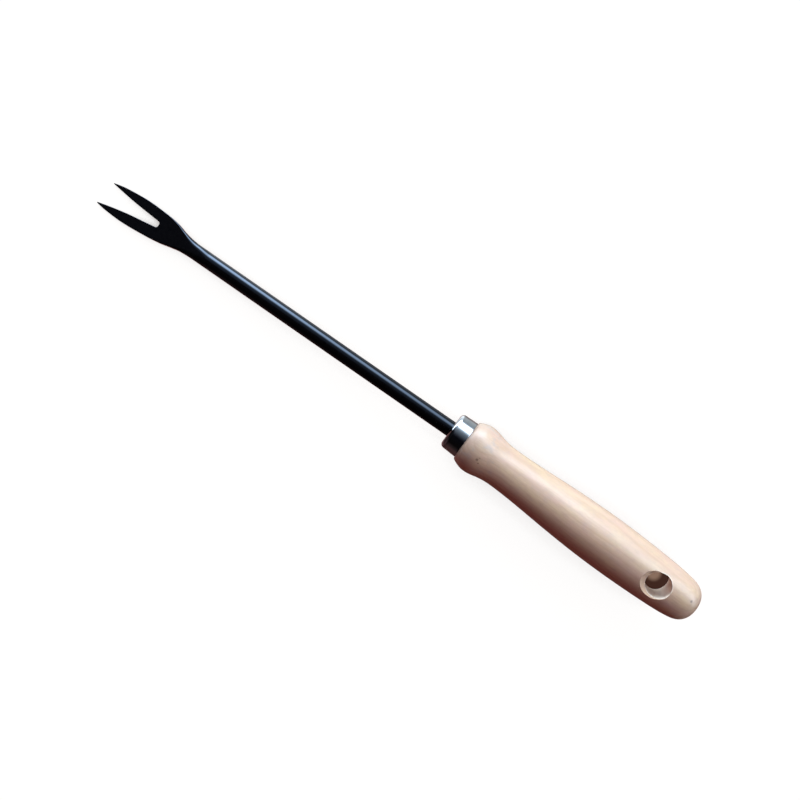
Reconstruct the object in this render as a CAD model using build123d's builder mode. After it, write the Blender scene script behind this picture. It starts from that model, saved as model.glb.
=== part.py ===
from build123d import *

import os
from math import atan2, degrees

# Hand weeder: a two-tined fork forged on the end of a round bar, whose tang is driven through a steel ferrule
# into a turned wooden handle.
#
# Millimetres, +Z up. The tool lies at rest on a table at Z = 0, on the bead of its handle and the tips of its
# tines, with the fork towards +X and the origin under its middle. Each piece is drawn in a frame of its own
# inside that: the shank's starts where the bar enters the ferrule, the blade's at the neck, and the handle's
# runs back from the ferrule's face. It is hand work, so the shank is set a little aslant in the handle, the
# blade is fuller on one side than on the other, and one tine is the longer.

# Shank and tang
bar_diameter = 8.0
shank_reach = 162.0  # from the ferrule's face to the neck, where the bar widens into the blade
shank_set = 1.6  # degrees by which the shank leans towards +Y out of the handle
tang_round = 14.0  # depth to which the bar stays round
tang_shoulder = 6.0  # length over which it is drawn down to a square
tang_square = 5.6
tang_end = 3.2
tang_corner = 0.6
tang_depth = 66.0
tang_point = 6.0
tang_point_taper = 12  # degrees

# Blade: distances from the neck, with the half width or the half thickness there. The outline differs from
# side to side: 1 is the +Y side, -1 the other.
blade_start = -16.0
flare_start = (-9.0, bar_diameter / 2)
flare = {
    1: [(-2.5, 4.3), (3.2, 5.35), (9.0, 6.7), (18.0, 7.9)],
    -1: [(-4.0, 4.35), (0.5, 5.15), (6.0, 6.6), (12.0, 7.35)],
}
blade_widest = {1: (32.0, 8.85), -1: (23.0, 7.75)}
blade_narrowing = {1: (40.2, 8.5), -1: (37.0, 6.65)}
blade_front = {1: (48.0, 7.45), -1: (48.0, 4.1)}
front_slope = {1: -0.16, -1: -0.27}
press_start = (blade_start, 4.1)
press_slope = -0.04
press_bends = [(-10.7, 3.9), (-5.7, 3.8), (-2.8, 3.55), (0.7, 3.0), (5.6, 2.35)]
press_end = (12.0, 1.7)
tip_thickness = 1.2
blade_drop = 0.7  # degrees by which the pressed faces dip below the line of the shank
blade_edge = 0.15

# Slot between the tines, punched a little off the middle line
tine_reach = {1: 46.2, -1: 43.9}  # neck to tip
slot_root = 13.9
slot_corner = 1.1
slot_side = {
    1: [(slot_root, 1.05), (30.0, 3.6), (tine_reach[1], 7.2)],
    -1: [(slot_root, 1.9), (30.0, 3.0), (tine_reach[-1], 4.7)],
}
slot_slope = {1: [0.16, 0.26], -1: [0.06, 0.16]}  # of each side, at the root and at the tip
tip_rounding = 0.2

# Ferrule
ferrule_length = 9.1
ferrule_front = 19.0  # outside diameter
ferrule_back = 19.7
ferrule_wall = 1.0
ferrule_corner = 2.2
ferrule_hole = 8.4
ferrule_lip = 0.3

# Handle: distances back from the ferrule's face, with the radius there
shoulder = (ferrule_length, 10.0)
shoulder_rise = (0.3, 1)
bead_rise = (11.1, 11.65)
bead = (16.2, 12.85)
bead_fall = (23.5, 11.6)
waist = (31.6, 10.75)
grip_front = (57.2, 11.9)
belly = (93.0, 13.25)
grip_back = (120.7, 12.5)
butt_turn = (137.3, 10.95)
butt_slope = (1, -0.18)
butt_corner = (143.2, 8.2)
butt_end = 146.0
butt_flat = 0.6  # radius of the flat left where the blank was parted off
tenon_gap = 0.4  # between the tenon's end and the inside of the ferrule's face
tenon_chamfer = 1.2
tang_clearance = 5.0  # pilot hole left beyond the tang's point
pilot_diameter = 4.0

# Hanging hole
hole_back = 123.4
hole_diameter = 12.8
hole_clocking = 8.0  # degrees by which the handle is turned about its axis from the blade
hole_rounding = 0.4
sink_offset = (-1.2, -0.9)  # from the hole's middle, back along the handle and across it
sink_height = 13.5  # above the handle's axis, clear of the wood, where the countersink is this wide
sink_diameter = 16.9
sink_slope = 30.0  # degrees from the hole's axis
sink_depth = 6.5

cutter_reach = 20.0  # further than any piece's half width

# Frames. The table is the line under the bead and the tip of the longer tine.
to_blade = Rot(Z=shank_set) * Pos(X=shank_reach)
to_press = to_blade * Pos(X=blade_start) * Rot(Y=blade_drop) * Pos(X=-blade_start)
tip_underside = (to_press * Pos(X=tine_reach[1], Z=-tip_thickness / 2)).position
rest = Rot(Y=degrees(atan2(bead[1] + tip_underside.Z, bead[0] + tip_underside.X)))
bead_underside = (rest * Pos(X=-bead[0], Z=-bead[1])).position
middle = (rest * Pos(X=(tip_underside.X - butt_end) / 2)).position
tool = Plane(Pos(X=-middle.X, Z=-bead_underside.Z) * rest)
shank_frame = Plane(tool * Rot(Z=shank_set))
blade_frame = Plane(tool * to_blade)
press_frame = Plane(tool * to_press)
handle_frame = Plane(tool * Rot(Z=180) * Rot(X=hole_clocking))


def axis_of(frame):
    """The line along a frame's x."""
    return Axis(frame.origin, frame.x_dir)


def station(frame, distance):
    """The plane square to a frame's x, this far along it."""
    return Plane(frame * Pos(X=distance) * Plane.YZ.location)


def below(frame):
    """A plane parallel to a frame's floor, clear of any piece and under it."""
    return Plane(frame * Pos(Z=-cutter_reach))


def upright(frame, shift=0):
    """The upright plane along a frame's x, this far to its +Y side."""
    return Plane(frame * Plane.XZ.offset(-shift).location)


def half_blade(side):
    """One side of the blade before it is slotted, with the bar's end behind it."""
    with BuildPart() as half:
        # A round bar that swells to the blade's width
        with BuildSketch(upright(blade_frame)):
            with BuildLine():
                front = blade_front[side]
                Line((blade_start, flare_start[1]), flare_start)
                Spline(flare_start, *flare[side], blade_widest[side], tangents=[(1, 0), (1, 0)])
                Spline(
                    blade_widest[side],
                    blade_narrowing[side],
                    front,
                    tangents=[(1, 0), (1, front_slope[side])],
                )
                Polyline(front, (front[0], 0), (blade_start, 0), (blade_start, flare_start[1]))
            make_face()
        revolve(axis=axis_of(blade_frame), revolution_arc=-180 * side)

        # Pressed between two faces that draw in at the neck and thin towards the tips
        with BuildSketch(upright(press_frame, cutter_reach)):
            with BuildLine():
                thinning = (tip_thickness / 2 - press_end[1]) / (tine_reach[1] - press_end[0])
                clear = front[0] + 1
                Spline(
                    press_start, *press_bends, press_end, tangents=[(1, press_slope), (1, 2 * thinning)]
                )
                Polyline(
                    press_end,
                    (clear, press_end[1] + thinning * (clear - press_end[0])),
                    (clear, 0),
                    (blade_start, 0),
                    press_start,
                )
            make_face()
            mirror(about=Plane.XZ)
        extrude(amount=2 * cutter_reach, mode=Mode.INTERSECT)
    return half.part


os.makedirs("parts", exist_ok=True)

blade_halves = [half_blade(1), half_blade(-1)]

with BuildPart() as fork_shank:
    add(blade_halves)

    # The slot, and the ends of the tines on either side of it
    with BuildSketch(below(blade_frame)):
        with BuildLine():
            beyond = tine_reach[1] + cutter_reach
            Line(slot_side[1][0], (slot_root, -slot_side[-1][0][1]))
            for side in (1, -1):
                wall = [(x, side * y) for x, y in slot_side[side]]
                reach = tine_reach[side]
                Spline(*wall, tangents=[(1, side * slope) for slope in slot_slope[side]])
                Polyline(wall[-1], (reach, side * cutter_reach), (beyond, side * cutter_reach))
            Line((beyond, cutter_reach), (beyond, -cutter_reach))
        make_face()
        fillet(vertices().sort_by(Axis.X)[:2], slot_corner)
    extrude(amount=2 * cutter_reach, mode=Mode.SUBTRACT)

    # Blunted tips, and edges eased round the flats, two on each tine
    fillet(edges().filter_by(Axis(blade_frame.origin, blade_frame.z_dir)), tip_rounding)
    flats = faces().filter_by(GeomType.PLANE).sort_by(SortBy.AREA)[-4:]
    fillet(flats.edges().filter_by(GeomType.LINE, reverse=True), blade_edge)

    # The rest of the bar
    with BuildSketch(station(shank_frame, shank_reach + blade_start)):
        Circle(bar_diameter / 2)
    extrude(amount=-(shank_reach + blade_start + tang_round))

    # The tang, drawn down to a tapering square and pointed
    with BuildSketch(station(shank_frame, -tang_round)):
        Circle(bar_diameter / 2)
    with BuildSketch(station(shank_frame, -tang_round - tang_shoulder)):
        RectangleRounded(tang_square, tang_square, tang_corner)
    loft(ruled=True)
    with BuildSketch(station(shank_frame, -tang_round - tang_shoulder)):
        RectangleRounded(tang_square, tang_square, tang_corner)
    with BuildSketch(station(shank_frame, -tang_depth)):
        RectangleRounded(tang_end, tang_end, tang_corner)
    loft(ruled=True)
    with BuildSketch(station(shank_frame, -tang_depth)):
        RectangleRounded(tang_end, tang_end, tang_corner)
    extrude(amount=-tang_point, taper=tang_point_taper)
fork_shank.part.label = "fork_shank"
export_step(fork_shank.part, "parts/fork_shank.step")

# The ferrule's bore, which the handle's tenon fills
bore_front = (ferrule_wall, ferrule_front / 2 - ferrule_wall)
bore_back = (ferrule_length, ferrule_back / 2 - ferrule_wall)

with BuildPart() as ferrule:
    # A cup pressed from sheet, a little wider at its open end, pierced for the shank
    with BuildSketch(handle_frame):
        with BuildLine():
            outside = FilletPolyline(
                (0, ferrule_hole / 2),
                (0, ferrule_front / 2),
                (ferrule_length, ferrule_back / 2),
                radius=ferrule_corner,
            )
            inside = FilletPolyline(
                bore_back,
                bore_front,
                (ferrule_wall, ferrule_hole / 2),
                radius=ferrule_corner - ferrule_wall,
            )
            Line(outside @ 1, inside @ 0)
            Line(inside @ 1, outside @ 0)
        make_face()
    revolve(axis=axis_of(handle_frame))
    rims = edges().filter_by(GeomType.CIRCLE).sort_by(axis_of(handle_frame))
    fillet(rims.group_by(axis_of(handle_frame))[-1].sort_by(SortBy.RADIUS)[-1], ferrule_lip)
ferrule.part.label = "ferrule"
export_step(ferrule.part, "parts/ferrule.step")

with BuildPart() as handle:
    # Turned in one piece: tenon, bead, waist, belly and rounded butt
    with BuildSketch(handle_frame):
        with BuildLine():
            bore_side = Line(bore_front, bore_back, mode=Mode.PRIVATE)
            tenon_front = ferrule_wall + tenon_gap
            Polyline(
                (butt_end, butt_flat),
                (butt_end, 0),
                (tenon_front, 0),
                (tenon_front, bore_front[1] - tenon_chamfer),
                bore_side @ (tenon_chamfer / bore_side.length),
                bore_back,
                shoulder,
            )
            Spline(shoulder, bead_rise, bead, tangents=[shoulder_rise, (1, 0)])
            Spline(bead, bead_fall, waist, tangents=[(1, 0), (1, 0)])
            Spline(waist, grip_front, belly, tangents=[(1, 0), (1, 0)])
            Spline(belly, grip_back, butt_turn, tangents=[(1, 0), butt_slope])
            Spline(butt_turn, butt_corner, (butt_end, butt_flat), tangents=[butt_slope, (0, -1)])
        make_face()
    revolve(axis=axis_of(handle_frame))

    # Hanging hole, eased at its lower mouth and countersunk a little off its middle at the upper one
    turned_edges = edges()
    with BuildSketch(Plane(handle_frame * Pos(X=hole_back, Z=-cutter_reach))):
        Circle(hole_diameter / 2)
    extrude(amount=2 * cutter_reach, mode=Mode.SUBTRACT)
    mouths = (edges() - turned_edges).filter_by(GeomType.BSPLINE)
    fillet(mouths.sort_by(Axis(handle_frame.origin, handle_frame.z_dir))[0], hole_rounding)
    sink_middle = Pos(X=hole_back + sink_offset[0], Y=sink_offset[1], Z=sink_height)
    with BuildSketch(Plane(handle_frame * sink_middle)):
        Circle(sink_diameter / 2)
    extrude(amount=-sink_depth, taper=sink_slope, mode=Mode.SUBTRACT)

    # Bore for the tang, which fills it to its point
    with BuildSketch(station(shank_frame, -tang_depth - tang_point - tang_clearance)):
        Circle(pilot_diameter / 2)
    extrude(amount=tang_clearance + tang_point, mode=Mode.SUBTRACT)
    add(fork_shank.part, mode=Mode.SUBTRACT)
handle.part.label = "handle"
export_step(handle.part, "parts/handle.step")
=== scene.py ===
import math

import bmesh
import bpy
from mathutils import Matrix, Vector


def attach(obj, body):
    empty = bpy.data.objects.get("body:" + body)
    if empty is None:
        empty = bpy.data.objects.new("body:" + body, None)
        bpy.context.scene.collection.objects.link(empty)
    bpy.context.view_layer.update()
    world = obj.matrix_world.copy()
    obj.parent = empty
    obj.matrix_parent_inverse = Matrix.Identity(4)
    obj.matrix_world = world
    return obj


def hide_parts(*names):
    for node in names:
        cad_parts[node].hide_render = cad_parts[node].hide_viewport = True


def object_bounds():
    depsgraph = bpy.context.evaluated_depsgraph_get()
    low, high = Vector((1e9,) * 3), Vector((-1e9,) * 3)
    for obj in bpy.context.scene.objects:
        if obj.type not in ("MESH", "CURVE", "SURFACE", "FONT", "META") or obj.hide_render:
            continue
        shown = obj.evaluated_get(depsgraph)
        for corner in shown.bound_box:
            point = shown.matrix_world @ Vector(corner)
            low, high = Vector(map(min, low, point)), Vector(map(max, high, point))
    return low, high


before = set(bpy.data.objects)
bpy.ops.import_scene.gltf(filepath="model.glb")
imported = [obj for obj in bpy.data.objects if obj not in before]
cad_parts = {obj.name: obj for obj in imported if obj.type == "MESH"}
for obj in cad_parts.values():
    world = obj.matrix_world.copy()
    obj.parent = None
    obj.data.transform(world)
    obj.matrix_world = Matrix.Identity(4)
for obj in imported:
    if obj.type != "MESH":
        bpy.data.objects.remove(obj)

MM = 0.001

cad_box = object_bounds()

# The tool lies on its bead and its points, so its axis is tipped a little towards the fork.
# Both values repeat the model's: the middle of the ferrule's front rim and the tilt at rest.
TOOL_ORIGIN = Vector((-31.0128, 0.0, 12.0044)) * MM
REST_TILT = math.radians(2.9324)
# The shank leans out of the handle, and its neck lies this many millimetres from the ferrule's face.
SHANK_SET = math.radians(1.6)
SHANK_REACH = 162.0


# ---------------------------------------------------------------- node helpers

class Tree:
    """Short calls for building one node tree."""

    def __init__(self, tree):
        self.tree = tree
        tree.nodes.clear()

    def node(self, kind, inputs=None, **settings):
        made = self.tree.nodes.new(kind)
        for name, value in settings.items():
            setattr(made, name, value)
        for name, value in (inputs or {}).items():
            self.put(made.inputs[name], value)
        return made

    def put(self, socket, value):
        if isinstance(value, bpy.types.NodeSocket):
            self.tree.links.new(value, socket)
        else:
            socket.default_value = value

    def math(self, operation, *values):
        return self.node("ShaderNodeMath", dict(enumerate(values)), operation=operation).outputs[0]

    def ramp(self, factor, stops, interpolation="LINEAR"):
        made = self.node("ShaderNodeValToRGB", {0: factor})
        made.color_ramp.interpolation = interpolation
        elements = made.color_ramp.elements
        while len(elements) < len(stops):
            elements.new(0.5)
        for element, (place, value) in zip(elements, sorted(stops, key=lambda stop: stop[0])):
            element.position = place
            shade = value if isinstance(value, tuple) else (value,) * 3
            element.color = (*shade, 1.0)
        return made.outputs["Color"]

    def mix(self, factor, first, second, blend="MIX"):
        made = self.node("ShaderNodeMix", data_type="RGBA", blend_type=blend)
        self.put(made.inputs[0], factor)
        self.put(made.inputs[6], first if not isinstance(first, tuple) else (*first, 1.0))
        self.put(made.inputs[7], second if not isinstance(second, tuple) else (*second, 1.0))
        return made.outputs[2]

    def noise(self, vector, scale, detail=3.0, roughness=0.5):
        made = self.node("ShaderNodeTexNoise", {
            "Vector": vector, "Scale": scale, "Detail": detail, "Roughness": roughness,
        })
        return made.outputs[0]

    def along_tool(self):
        """Coordinates in millimetres from the ferrule's front rim, X along the tool's axis."""
        place = self.node("ShaderNodeTexCoord")
        made = self.node("ShaderNodeMapping", {
            "Vector": place.outputs["Object"],
            "Location": TOOL_ORIGIN,
            "Rotation": (0.0, REST_TILT, 0.0),
            "Scale": (MM, MM, MM),
        }, vector_type="TEXTURE")
        return made.outputs[0]

    def stretched(self, vector, scale):
        made = self.node("ShaderNodeVectorMath", {0: vector, 1: scale}, operation="MULTIPLY")
        return made.outputs[0]

    def bump(self, height, strength, distance):
        made = self.node("ShaderNodeBump", {
            "Height": height, "Strength": strength, "Distance": distance,
        })
        return made.outputs[0]


def new_material(name):
    made = bpy.data.materials.new(name)
    made.use_nodes = True
    return made, Tree(made.node_tree)


def finish_material(tree, shader):
    output = tree.node("ShaderNodeOutputMaterial")
    tree.put(output.inputs["Surface"], shader)


def cover(node, material):
    """Gives a node of the model one material over its whole surface."""
    piece = bpy.data.objects[node]
    for slot in piece.material_slots:
        slot.material = material


# ---------------------------------------------------------------- materials

SCUFF_START, SCUFF_FULL = 36.0, 47.0  # distances past the neck


def black_lacquer():
    made, tree = new_material("black_lacquer_look")
    place = tree.along_tool()
    peel = tree.noise(place, 0.55, 2.0)
    dust = tree.noise(place, 2.6, 4.0, 0.6)
    smear = tree.noise(tree.stretched(place, (0.05, 0.4, 0.4)), 1.0, 3.0)
    roughness = tree.ramp(dust, [(0.3, 0.03), (0.75, 0.07)])
    roughness = tree.math("MULTIPLY_ADD", smear, 0.04, roughness)
    colour = tree.ramp(peel, [(0.3, (0.0016, 0.0013, 0.0015)), (0.7, (0.0028, 0.0024, 0.0025))])

    # The tips, which go into the ground, are scuffed through in places
    parts = tree.node("ShaderNodeSeparateXYZ", {0: place})
    near_tips = tree.node("ShaderNodeMapRange", {
        "Value": parts.outputs[0],
        "From Min": SHANK_REACH + SCUFF_START, "From Max": SHANK_REACH + SCUFF_FULL,
    }).outputs[0]
    scuffed = tree.ramp(tree.noise(place, 1.4, 6.0, 0.7), [(0.62, 0.0), (0.68, 1.0)])
    scuffed = tree.math("MULTIPLY", scuffed, near_tips)
    colour = tree.mix(tree.math("MULTIPLY", scuffed, 0.35), colour, (0.045, 0.043, 0.042))
    roughness = tree.math("MULTIPLY_ADD", scuffed, 0.2, roughness)
    shader = tree.node("ShaderNodeBsdfPrincipled", {
        "Base Color": colour,
        "Roughness": roughness,
        "Specular IOR Level": 0.62,
        "Specular Tint": (0.64, 0.78, 1.0, 1.0),
        "Normal": tree.bump(peel, 0.05, 0.0003),
    })
    finish_material(tree, shader.outputs[0])
    return made


def bright_steel():
    made, tree = new_material("bright_steel_look")
    place = tree.along_tool()
    spun = tree.noise(tree.stretched(place, (9.0, 0.15, 0.15)), 1.0, 5.0, 0.6)
    haze = tree.noise(place, 0.35, 3.0)
    scratch = tree.noise(tree.stretched(place, (1.6, 0.25, 6.0)), 1.0, 6.0, 0.75)
    scratch = tree.ramp(scratch, [(0.60, 0.0), (0.66, 1.0)])
    colour = tree.ramp(haze, [(0.3, (0.58, 0.60, 0.63)), (0.75, (0.68, 0.69, 0.71))])
    colour = tree.mix(tree.math("MULTIPLY", scratch, 0.25), colour, (0.42, 0.43, 0.45))

    # Painted shade: round the front corner, on the +Y side, the steel is darker, which dims its reflection
    # there
    parts = tree.node("ShaderNodeSeparateXYZ", {0: place})
    painted_shade_front = tree.node("ShaderNodeMapRange", {
        "Value": parts.outputs[0], "From Min": -3.2, "From Max": -1.2,
    }).outputs[0]
    low = tree.node("ShaderNodeMapRange", {
        "Value": parts.outputs[1], "From Min": 1.0, "From Max": 6.0,
    }).outputs[0]
    colour = tree.mix(tree.math("MULTIPLY", painted_shade_front, low), colour, (0.15, 0.20, 0.24))
    roughness = tree.ramp(spun, [(0.3, 0.05), (0.75, 0.10)])
    roughness = tree.math("MULTIPLY_ADD", scratch, 0.10, roughness)
    shader = tree.node("ShaderNodeBsdfPrincipled", {
        "Base Color": colour,
        "Metallic": 1.0,
        "Roughness": roughness,
        "Normal": tree.bump(spun, 0.10, 0.0001),
    })
    finish_material(tree, shader.outputs[0])
    return made


# Middle of the tree that the blank was cut from, beside the tool's axis, and the width of a year's growth.
PITH = (0.0, 38.0, -52.0)
RING_WIDTH = 2.1
# Small dark marks: place in the tool's frame, radius
SPECKS = [
    ((-18.6, 4.6, 11.9), 0.75),
    ((-19.3, 3.2, 12.1), 0.4),
    ((-20.0, 5.6, 11.0), 0.45),
    ((-140.4, -1.6, 10.1), 0.8),
]
WOOD_START = -9.1  # where the wood comes out of the ferrule
# The hanging hole, as in the model
HOLE_BACK = 123.4
HOLE_RADIUS = 6.4
HOLE_CLOCKING = math.radians(8.0)


def varnished_wood():
    made, tree = new_material("varnished_wood_look")
    place = tree.along_tool()
    parts = tree.node("ShaderNodeSeparateXYZ", {0: place})

    # Growth rings about the pith, which wander a little along the blank
    wander = tree.noise(tree.stretched(place, (0.012, 0.06, 0.06)), 1.0, 2.0)
    across = tree.node("ShaderNodeVectorMath", {
        0: tree.stretched(place, (0.03, 1.0, 1.0)), 1: PITH,
    }, operation="DISTANCE").outputs["Value"]
    ring = tree.math("MULTIPLY_ADD", wander, 9.0, across)
    ring = tree.math("FRACT", tree.math("DIVIDE", ring, RING_WIDTH))
    late_wood = tree.ramp(ring, [(0.0, 0.25), (0.55, 0.0), (0.86, 1.0), (1.0, 0.25)], "EASE")

    fibre = tree.noise(tree.stretched(place, (0.05, 1.3, 1.3)), 1.0, 6.0, 0.6)
    streak = tree.noise(tree.stretched(place, (0.012, 0.5, 0.5)), 1.0, 3.0)
    cloud = tree.noise(tree.stretched(place, (0.05, 0.12, 0.12)), 1.0, 4.0, 0.6)
    pores = tree.noise(tree.stretched(place, (0.35, 3.5, 3.5)), 1.0, 3.0, 0.6)
    pores = tree.ramp(pores, [(0.64, 0.0), (0.72, 1.0)])

    colour = tree.ramp(fibre, [(0.25, (0.500, 0.332, 0.212)), (0.75, (0.645, 0.445, 0.298))])
    colour = tree.mix(tree.ramp(cloud, [(0.35, 0.0), (0.70, 0.55)]), colour, (0.55, 0.385, 0.285))
    colour = tree.mix(tree.math("MULTIPLY", late_wood, 0.40), colour, (0.44, 0.265, 0.165))
    colour = tree.mix(tree.ramp(streak, [(0.45, 0.0), (0.70, 0.50)]), colour, (0.47, 0.31, 0.22))
    colour = tree.mix(tree.math("MULTIPLY", pores, 0.30), colour, (0.30, 0.17, 0.10))

    # Pinker and yellower patches
    hue = tree.noise(tree.stretched(place, (0.07, 0.16, 0.16)), 1.0, 4.0, 0.65)
    colour = tree.mix(tree.ramp(hue, [(0.50, 0.0), (0.66, 0.45)]), colour, (0.56, 0.345, 0.285))
    colour = tree.mix(tree.ramp(hue, [(0.34, 0.45), (0.48, 0.0)]), colour, (0.58, 0.43, 0.25))
    mottle = tree.noise(tree.stretched(place, (0.30, 0.55, 0.55)), 1.0, 5.0, 0.65)
    colour = tree.mix(tree.ramp(mottle, [(0.46, 0.0), (0.68, 0.40)]), colour, (0.44, 0.30, 0.215))

    # Painted shade: the bead's front is darker and has a thinner coat, which dims its highlight there
    bead_painted_shade = tree.node("ShaderNodeMapRange", {
        "Value": parts.outputs[0], "From Min": -20.0, "From Max": -13.5,
    }).outputs[0]
    colour = tree.mix(tree.math("MULTIPLY", bead_painted_shade, 0.30), colour, (0.33, 0.26, 0.215))

    # Grey smudges from handling, mostly on the bead
    smudge = tree.noise(tree.stretched(place, (0.22, 0.28, 0.28)), 1.0, 4.0, 0.6)
    smudge = tree.ramp(smudge, [(0.52, 0.0), (0.70, 1.0)])
    on_bead = tree.node("ShaderNodeMapRange", {
        "Value": parts.outputs[0], "From Min": -34.0, "From Max": -18.0, "To Min": 0.16, "To Max": 0.55,
    }).outputs[0]
    colour = tree.mix(tree.math("MULTIPLY", smudge, on_bead), colour, (0.36, 0.31, 0.29))

    # Dirt where the wood meets the ferrule, and the darker end grain of the butt
    joint = tree.node("ShaderNodeMapRange", {
        "Value": parts.outputs[0], "From Min": WOOD_START - 1.1, "From Max": WOOD_START,
    }).outputs[0]
    colour = tree.mix(tree.math("MULTIPLY", joint, 0.7), colour, (0.16, 0.10, 0.07))
    butt = tree.node("ShaderNodeMapRange", {
        "Value": parts.outputs[0], "From Min": -144.2, "From Max": -145.6,
    }).outputs[0]
    colour = tree.mix(tree.math("MULTIPLY", butt, 0.45), colour, (0.36, 0.22, 0.14))

    # The hanging hole's wall was bored after turning and never varnished
    aside = tree.math("MULTIPLY", parts.outputs[1], math.cos(HOLE_CLOCKING))
    aside = tree.math("MULTIPLY_ADD", parts.outputs[2], -math.sin(HOLE_CLOCKING), aside)
    beside_hole = tree.node("ShaderNodeCombineXYZ", {0: parts.outputs[0], 1: aside})
    from_axis = tree.node("ShaderNodeVectorMath", {
        0: beside_hole.outputs[0], 1: (-HOLE_BACK, 0.0, 0.0),
    }, operation="DISTANCE").outputs["Value"]
    bare = tree.node("ShaderNodeMapRange", {
        "Value": from_axis, "From Min": HOLE_RADIUS + 0.25, "From Max": HOLE_RADIUS + 0.05,
    }).outputs[0]
    colour = tree.mix(tree.math("MULTIPLY", bare, 0.85), colour, (0.90, 0.80, 0.66))

    # Small dark marks with ragged edges
    ragged = tree.noise(place, 1.6, 3.0)
    for spot, radius in SPECKS:
        away = tree.node("ShaderNodeVectorMath", {0: place, 1: spot}, operation="DISTANCE").outputs["Value"]
        away = tree.math("MULTIPLY_ADD", ragged, radius, away)
        mark = tree.node("ShaderNodeMapRange", {
            "Value": away, "From Min": 1.65 * radius, "From Max": 1.0 * radius,
        }).outputs[0]
        colour = tree.mix(tree.math("MULTIPLY", mark, 0.75), colour, (0.13, 0.075, 0.055))

    # Faint lines from turning, raised fibre and sunken pores
    turning = tree.noise(tree.stretched(place, (1.4, 0.03, 0.03)), 1.0, 4.0, 0.6)
    roughness = tree.ramp(fibre, [(0.3, 0.36), (0.75, 0.46)])
    roughness = tree.math("MULTIPLY_ADD", smudge, 0.08, roughness)
    height = tree.math("MULTIPLY_ADD", pores, -0.6, fibre)
    height = tree.math("MULTIPLY_ADD", turning, 0.5, height)
    shader = tree.node("ShaderNodeBsdfPrincipled", {
        "Base Color": colour,
        "Roughness": roughness,
        "Coat Weight": tree.math("MULTIPLY_ADD", bead_painted_shade, -0.34, 0.64),
        "Coat Roughness": 0.28,
        "Normal": tree.bump(height, 0.16, 0.0002),
    })
    finish_material(tree, shader.outputs[0])
    return made


# ---------------------------------------------------------------- fork and shank

BLADE_START = -16.0
BLADE_DROOP = math.tan(math.radians(0.7))
SLOT_ROOT = 13.9
SLOT_CORNER = 1.1
SLOT_MIDDLE = -0.42  # middle of the slot's root
TIP_HALF_WIDTH = 0.26
# Steps of the mesh round an edge, along the neck, round a corner of the slot's root, up a tine and round
# half of its tip
CORNER_STEPS = 10
NECK_STEPS = 36
ROOT_STEPS = 10
TINE_STEPS = 30
TIP_STEPS = 5

# Tables of distance from the neck and size there, in millimetres; side 1 is the +Y one.
OUTLINE = {
    1: [
        (-16, 4.0), (-9, 4.0), (-2.5, 4.3), (3.2, 5.35), (9, 6.7),
        (18, 7.9), (32, 8.84), (40.2, 8.49), (48, 7.45),
    ],
    -1: [
        (-16, 4.0), (-9, 4.0), (-4, 4.35), (0.5, 5.15), (6, 6.6),
        (12, 7.35), (23, 7.74), (37, 6.65), (48, 4.3),
    ],
}
SLOT = {
    1: [(13.9, 1.05), (20, 2.03), (30, 3.6), (38, 5.25), (46.2, 7.25)],
    -1: [(13.9, 1.9), (20, 2.3), (30, 3.0), (38, 3.9), (44.6, 4.75)],
}
TINE_REACH = {1: 46.2, -1: 44.6}
HALF_THICKNESS = [
    (-16, 4.0), (-10.7, 3.9), (-5.7, 3.7), (-2.8, 3.45),
    (0.7, 2.95), (5.6, 2.3), (12, 1.7), (46.2, 0.6),
]
EDGE_RADIUS = [
    (-16, 3.9), (-10.7, 3.0), (-5.7, 2.4), (-2.8, 1.75), (0.7, 1.05),
    (5.6, 0.6), (12, 0.26), (18, 0.17), (46.2, 0.13),
]
# The bar and the tang behind the blade: distance from the neck, half size and corner radius.
BAR = [(-16.0, 4.0, 3.9), (-176.0, 4.0, 3.9), (-182.0, 2.75, 0.6), (-228.0, 1.55, 0.6), (-233.5, 0.5, 0.2)]
BAR_STEP = 8.0
FLAT_SHARES = (0.45, 0.5, 0.55)  # columns across the neck that meet the slot's root


def smooth(table, place):
    """Reads a table by a cubic curve through its points that never overshoots them."""
    spans = [(b[0] - a[0], (b[1] - a[1]) / (b[0] - a[0])) for a, b in zip(table, table[1:])]
    slopes = [spans[0][1]]
    for (before, rise_before), (after, rise_after) in zip(spans, spans[1:]):
        turning = rise_before * rise_after <= 0
        weight = before + after
        slopes.append(0.0 if turning else 3 * weight / (
            (weight + after) / rise_before + (weight + before) / rise_after))
    slopes.append(spans[-1][1])
    place = min(max(place, table[0][0]), table[-1][0])
    index = max(i for i in range(len(spans)) if table[i][0] <= place)
    length = spans[index][0]
    t = (place - table[index][0]) / length
    return (
        (1 + 2 * t) * (1 - t) ** 2 * table[index][1] + t * (1 - t) ** 2 * length * slopes[index]
        + t * t * (3 - 2 * t) * table[index + 1][1] + t * t * (t - 1) * length * slopes[index + 1]
    )


def slot_wall(side, place):
    """How far one side of the slot, with its rounded root, lies from the middle line."""
    wall = smooth(SLOT[side], place)
    past = min((place - SLOT_ROOT) / SLOT_CORNER, 1.0)
    return wall - SLOT_CORNER * (1 - math.sqrt(max(1 - (1 - past) ** 2, 0.0)))


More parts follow.
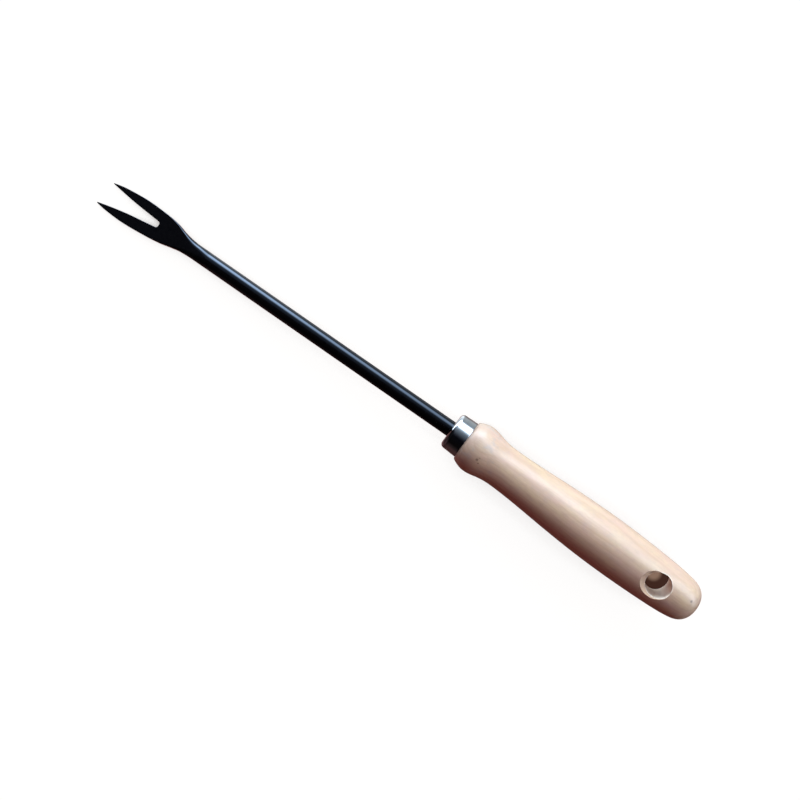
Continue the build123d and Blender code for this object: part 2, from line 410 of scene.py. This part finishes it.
def tine_edges(side):
    """Matching points up a tine's outer edge and up its slot edge, from the root to the round tip."""
    tip_start = TINE_REACH[side] - TIP_HALF_WIDTH
    turns = [math.radians(90 * step / ROOT_STEPS) for step in range(ROOT_STEPS + 1)]
    places = [SLOT_ROOT + SLOT_CORNER * (1 - math.cos(turn)) for turn in turns]
    wall_start = places[-1]
    places += [wall_start + (tip_start - wall_start) * (step + 1) / TINE_STEPS for step in range(TINE_STEPS)]
    outer = [(place, side * smooth(OUTLINE[side], place)) for place in places]
    inner = [(place, side * slot_wall(side, place)) for place in places]
    middle = (outer[-1][1] + inner[-1][1]) / 2
    half = abs(outer[-1][1] - inner[-1][1]) / 2
    for step in range(1, TIP_STEPS + 1):
        turn = math.radians(90 * step / TIP_STEPS)
        place = tip_start + TIP_HALF_WIDTH * math.sin(turn)
        outer.append((place, middle + side * half * math.cos(turn)))
        inner.append((place, middle - side * half * math.cos(turn)))
    return outer, inner


def edge_column(shape, point, inward, radius):
    """One stack of vertices from the top flat round the edge to the bottom flat."""
    place, aside = point
    half = smooth(HALF_THICKNESS, place)
    centre = -BLADE_DROOP * (place - BLADE_START)
    column = []
    for up in (1, -1):
        turns = [math.radians(90 * step / CORNER_STEPS) for step in range(CORNER_STEPS + 1)]
        for turn in (turns if up == 1 else reversed(turns)):
            inset = radius * (1 - math.sin(turn))
            height = half - radius * (1 - math.cos(turn))
            column.append(shape.verts.new((
                place + inward[0] * inset, aside + inward[1] * inset, centre + up * height,
            )))
    return column


def edge_columns(shape, path):
    """A stack of vertices at each point of the outline, joined by faces round its edge."""
    columns = []
    for index, point in enumerate(path):
        before, after = path[max(index - 1, 0)], path[min(index + 1, len(path) - 1)]
        run, rise = after[0] - before[0], after[1] - before[1]
        length = math.hypot(run, rise)
        inward = (rise / length, -run / length)
        if index in (0, len(path) - 1):
            inward = (0.0, -math.copysign(1.0, point[1]))
        columns.append(edge_column(shape, point, inward, smooth(EDGE_RADIUS, point[0])))
    for first, second in zip(columns, columns[1:]):
        for low in range(len(first) - 1):
            shape.faces.new((first[low], second[low], second[low + 1], first[low + 1]))
    return columns


def flats(shape, columns, rows, up_tine):
    """Fills both faces, across the neck and up each tine, and returns the inner vertices where they start."""
    starts = {}
    root = {1: rows + 2 * up_tine - 2, -1: rows + 2 * up_tine}
    for end in (0, -1):
        previous = None
        for row in range(rows + 1):
            left, right = columns[row][end], columns[-1 - row][end]
            if row < rows:
                inside = [shape.verts.new(left.co.lerp(right.co, share)) for share in FLAT_SHARES]
            else:
                inside = [columns[place][end] for place in (root[1], root[1] + 1, root[-1])]
            across = [left, *inside, right]
            if previous:
                for corner in range(len(across) - 1):
                    shape.faces.new((*previous[corner:corner + 2], *across[corner:corner + 2][::-1]))
            else:
                starts[end] = inside
            previous = across
        for side, outside in ((1, rows), (-1, len(columns) - 1 - rows)):
            for step in range(up_tine - 1):
                outer, inner = outside + side * step, root[side] - side * step
                quad = [columns[place][end] for place in (outer, outer + side, inner - side, inner)]
                shape.faces.new(list(dict.fromkeys(quad)))
    return starts


def bar_and_tang(shape, ring):
    """Carries the section at the blade's start back along the bar and the tang, and closes its end."""
    steps = int((BAR[0][0] - BAR[1][0]) / BAR_STEP)
    stops = [(BAR[0][0] - BAR_STEP * step, *BAR[0][1:]) for step in range(1, steps)] + BAR[1:]
    start = [vert.co.copy() for vert in ring]
    _, first_half, first_radius = BAR[0]
    core_reach = first_half - first_radius
    for place, half, radius in stops:
        fresh = []
        for spot in start:
            core = [max(-core_reach, min(core_reach, value)) for value in (spot.y, spot.z)]
            edge = [(value - inner) / first_radius * radius for value, inner in zip((spot.y, spot.z), core)]
            core = [value / core_reach * (half - radius) for value in core]
            fresh.append(shape.verts.new((place, core[0] + edge[0], core[1] + edge[1])))
        for index, vert in enumerate(ring):
            follow = (index + 1) % len(ring)
            shape.faces.new((vert, ring[follow], fresh[follow], fresh[index]))
        ring = fresh
    bmesh.ops.poke(shape, faces=[shape.faces.new(ring)])


def fork_mesh():
    """The blade, its neck and the bar behind it as one closed skin, in the shank's frame."""
    shape = bmesh.new()
    back, tines = {}, {}
    stations = [BLADE_START + (SLOT_ROOT - BLADE_START) * step / NECK_STEPS for step in range(NECK_STEPS)]
    for side in (1, -1):
        back[side] = [(place, side * smooth(OUTLINE[side], place)) for place in stations]
        tines[side] = tine_edges(side)
    path = back[1] + tines[1][0] + tines[1][1][-2::-1] + [(SLOT_ROOT, SLOT_MIDDLE)]
    path += tines[-1][1] + tines[-1][0][-2::-1] + back[-1][::-1]
    columns = edge_columns(shape, path)
    starts = flats(shape, columns, len(stations), len(tines[1][0]))
    bar_and_tang(shape, columns[0] + starts[-1] + columns[-1][::-1] + starts[0][::-1])
    bmesh.ops.remove_doubles(shape, verts=shape.verts, dist=1e-5)
    bmesh.ops.recalc_face_normals(shape, faces=shape.faces)
    for vert in shape.verts:
        vert.co *= MM
    mesh = bpy.data.meshes.new("fork_shank_look")
    shape.to_mesh(mesh)
    shape.free()
    mesh.shade_smooth()
    return mesh


def fork_shank(material):
    """The fork in place of the model's, with its place in the scene written into the mesh."""
    mesh = fork_mesh()
    mesh.transform(
        Matrix.Translation(TOOL_ORIGIN) @ Matrix.Rotation(REST_TILT, 4, "Y")
        @ Matrix.Rotation(SHANK_SET, 4, "Z") @ Matrix.Translation((SHANK_REACH * MM, 0, 0))
    )
    piece = bpy.data.objects.new("fork_shank_look", mesh)
    bpy.context.scene.collection.objects.link(piece)
    weighted = piece.modifiers.new("flat_faces_lead", "WEIGHTED_NORMAL")
    weighted.weight = 100
    piece.data.materials.append(material)
    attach(piece, "root")
    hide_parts("fork_shank")


fork_shank(black_lacquer())
cover("ferrule", bright_steel())
cover("handle", varnished_wood())


# ---------------------------------------------------------------- studio

# Light that reaches the tool, by its angle from straight up towards the window (-Y side).
WINDOW_STRENGTH = 9.0
STUDIO = [
    (-180, (0.28, 0.13, 0.12)),
    (-150, (0.18, 0.08, 0.075)),
    (-131, (0.095, 0.042, 0.038)),
    (-108, (0.108, 0.052, 0.050)),
    (-90, (0.040, 0.026, 0.026)),
    (-70, (0.005, 0.004, 0.004)),
    (-22, (0.004, 0.004, 0.006)),
    (-12, (0.026, 0.028, 0.038)),
    (0, (0.090, 0.108, 0.135)),
    (14, (0.17, 0.21, 0.26)),
    (24, (0.34, 0.42, 0.50)),
    (31, (0.85, 1.05, 1.25)),
    (40, (3.6, 4.2, 4.9)),
    (48, (5.6, 6.6, 7.7)),
    (66, (5.6, 6.6, 7.7)),
    (76, (2.4, 2.8, 3.2)),
    (83, (0.60, 0.70, 0.78)),
    (92, (0.52, 0.60, 0.66)),
    (108, (0.68, 0.77, 0.82)),
    (131, (0.82, 0.88, 0.91)),
    (150, (0.45, 0.40, 0.40)),
    (180, (0.28, 0.13, 0.12)),
]
# How the window's brightness changes along X, towards the fork.
ALONG = [
    (-1.0, 0.70), (-0.30, 0.66), (0.0, 0.62), (0.08, 0.70), (0.16, 1.0),
    (0.24, 1.55), (0.32, 2.0), (0.6, 1.3), (1.0, 0.9),
]
ALONG_PEAK = 2.0
# Degrees by which the window drops towards the horizon for a whole step along X, and the part of X over which
# it does.
WINDOW_SLANT = -60.0
SLANT_SPAN = (-0.12, 0.35)
STUDIO_TURN = 5.0  # degrees by which all of the light is turned towards the window


def studio_light():
    """The light from all round, as bands along the tool."""
    world = bpy.data.worlds.new("studio")
    world.use_nodes = True
    bpy.context.scene.world = world
    tree = Tree(world.node_tree)
    place = tree.node("ShaderNodeTexCoord")
    parts = tree.node("ShaderNodeSeparateXYZ", {0: place.outputs["Generated"]})
    towards_window = tree.math("MULTIPLY", parts.outputs[1], -1.0)
    angle = tree.math("ARCTAN2", towards_window, parts.outputs[2])
    turn = tree.math("MULTIPLY_ADD", angle, 1.0 / math.tau, 0.5 + STUDIO_TURN / 360)
    slant = tree.node("ShaderNodeClamp", {0: parts.outputs[0], 1: SLANT_SPAN[0], 2: SLANT_SPAN[1]}).outputs[0]
    turn = tree.math("MULTIPLY_ADD", slant, WINDOW_SLANT / 360, turn)
    stops = [((degrees + 180) / 360, tuple(v / WINDOW_STRENGTH for v in shade)) for degrees, shade in STUDIO]
    colour = tree.ramp(turn, stops)
    across = tree.math("MULTIPLY_ADD", parts.outputs[0], 0.5, 0.5)
    along = tree.ramp(across, [((x + 1) / 2, value / ALONG_PEAK) for x, value in ALONG])
    strength = tree.math("MULTIPLY", along, WINDOW_STRENGTH * ALONG_PEAK)
    background = tree.node("ShaderNodeBackground", {"Color": colour, "Strength": strength})
    output = tree.node("ShaderNodeOutputWorld")
    tree.put(output.inputs["Surface"], background.outputs[0])


BOUNCE_PLACE = (-0.05, 0.60, 0.50)
BOUNCE_SIZE = (1.6, 0.7)
BOUNCE_COLOUR = (1.0, 0.19, 0.21)
BOUNCE_WATTS = 1.15


def bounce():
    """A warm card low on the shaded side, which only fills the matt shadows."""
    data = bpy.data.lights.new("bounce", "AREA")
    data.shape = "RECTANGLE"
    data.size, data.size_y = BOUNCE_SIZE
    data.color = BOUNCE_COLOUR
    data.energy = BOUNCE_WATTS
    piece = bpy.data.objects.new("bounce", data)
    bpy.context.scene.collection.objects.link(piece)
    piece.location = BOUNCE_PLACE
    piece.rotation_euler = (-piece.location).to_track_quat("-Z", "Y").to_euler()
    piece.visible_glossy = False
    piece.visible_camera = False


# The painted shadow on the floor, to show through the hanging hole from straight above, with a painted pool
# of light in it: the shadow's middle, the middle of the pool of light, both in the tool's frame, and the
# radii between which the shadow fades out.
HOLE_FLOOR = (-127.5, 0.0, 0.0)
LIT_PATCH = (-123.0, -2.2, 0.0)
PATCH_EDGE, PATCH_CORE = 9.5, 6.4
LIT_REACH = 8.0


def pale_floor():
    """A near-white glowing floor, with painted shade close under the tool and a painted shadow under the
    hanging hole.
    """
    material, tree = new_material("pale_floor")
    # Painted shade: the floor's glow darkens where the tool closes it in, as ambient occlusion
    closed_in = tree.node("ShaderNodeAmbientOcclusion", {"Distance": 0.022}, samples=4)
    shade = tree.ramp(closed_in.outputs["AO"], [
        (0.05, (0.10, 0.06, 0.05)), (0.40, (0.975, 0.97, 0.965)),
    ], "EASE")

    # The patch is painted because the stage's light leaves no shadow there
    on_floor = tree.stretched(tree.along_tool(), (1.0, 1.0, 0.0))
    from_hole, from_lit = (
        tree.node("ShaderNodeVectorMath", {0: on_floor, 1: spot}, operation="DISTANCE").outputs["Value"]
        for spot in (HOLE_FLOOR, LIT_PATCH)
    )
    beneath = tree.node("ShaderNodeMapRange", {
        "Value": from_hole, "From Min": PATCH_EDGE, "From Max": PATCH_CORE,
    }, interpolation_type="SMOOTHSTEP").outputs[0]
    patch = tree.ramp(tree.math("DIVIDE", from_lit, LIT_REACH), [
        (0.25, (0.24, 0.150, 0.105)), (0.62, (0.042, 0.016, 0.010)),
    ], "EASE")
    shade = tree.mix(beneath, shade, patch)
    glow = tree.node("ShaderNodeEmission", {"Color": shade, "Strength": 1.0})
    matt = tree.node("ShaderNodeBsdfDiffuse", {
        "Color": tree.mix(beneath, (0.07, 0.055, 0.045), (0.01, 0.006, 0.005)),
    })
    both = tree.node("ShaderNodeAddShader", {0: glow.outputs[0], 1: matt.outputs[0]})
    finish_material(tree, both.outputs[0])
    return material


# The studio's floor and walls, in metres.
FLOOR_RADIUS, COVE_RADIUS, WALL_HEIGHT = 2.2, 0.6, 4.0
FLOOR_RING = 0.25  # share of the floor's radius at which a ring of vertices breaks it up
FLOOR_GAP = 0.0002  # how far it lies under the tool, so that the two never share a plane
COVE_STEPS, TURN_STEPS = 12, 96


def backdrop():
    """A wide pale floor that turns up into a wall all round, like a studio cove."""
    outline = [(0.0, 0.0), (FLOOR_RADIUS * FLOOR_RING, 0.0), (FLOOR_RADIUS, 0.0)]
    for step in range(1, COVE_STEPS + 1):
        turn = math.radians(90 * step / COVE_STEPS)
        outline.append((FLOOR_RADIUS + COVE_RADIUS * math.sin(turn), COVE_RADIUS * (1 - math.cos(turn))))
    outline.append((FLOOR_RADIUS + COVE_RADIUS, WALL_HEIGHT))
    outline.append((0.0, WALL_HEIGHT))
    shape = bmesh.new()
    line = [shape.verts.new((reach, 0.0, height)) for reach, height in outline]
    edges = [shape.edges.new(pair) for pair in zip(line, line[1:])]
    bmesh.ops.spin(
        shape, geom=line + edges, cent=(0, 0, 0), axis=(0, 0, 1), angle=math.tau, steps=TURN_STEPS,
    )
    bmesh.ops.remove_doubles(shape, verts=shape.verts, dist=1e-6)
    mesh = bpy.data.meshes.new("backdrop")
    shape.to_mesh(mesh)
    shape.free()
    mesh.shade_smooth()
    piece = bpy.data.objects.new("backdrop", mesh)
    bpy.context.scene.collection.objects.link(piece)
    piece.location.z = min(cad_box[0].z, 0.0) - FLOOR_GAP
    for ray in ("diffuse", "glossy", "transmission", "shadow"):
        setattr(piece, "visible_" + ray, False)
    mesh.materials.append(pale_floor())


# Place of the camera, the angle it is turned about its own axis and its lens in millimetres.
CAMERA_PLACE = (-0.00245, 0.00334, 0.662)
CAMERA_ROLL = math.radians(216.35)
CAMERA_LENS = 60.0


def camera():
    """Straight above the tool, turned so that the fork points to the upper left."""
    data = bpy.data.cameras.new("camera")
    data.lens = CAMERA_LENS
    piece = bpy.data.objects.new("camera", data)
    bpy.context.scene.collection.objects.link(piece)
    piece.location = CAMERA_PLACE
    piece.rotation_euler = (0.0, 0.0, CAMERA_ROLL)
    bpy.context.scene.camera = piece


studio_light()
bounce()
backdrop()
camera()
bpy.context.scene.view_settings.view_transform = "Standard"
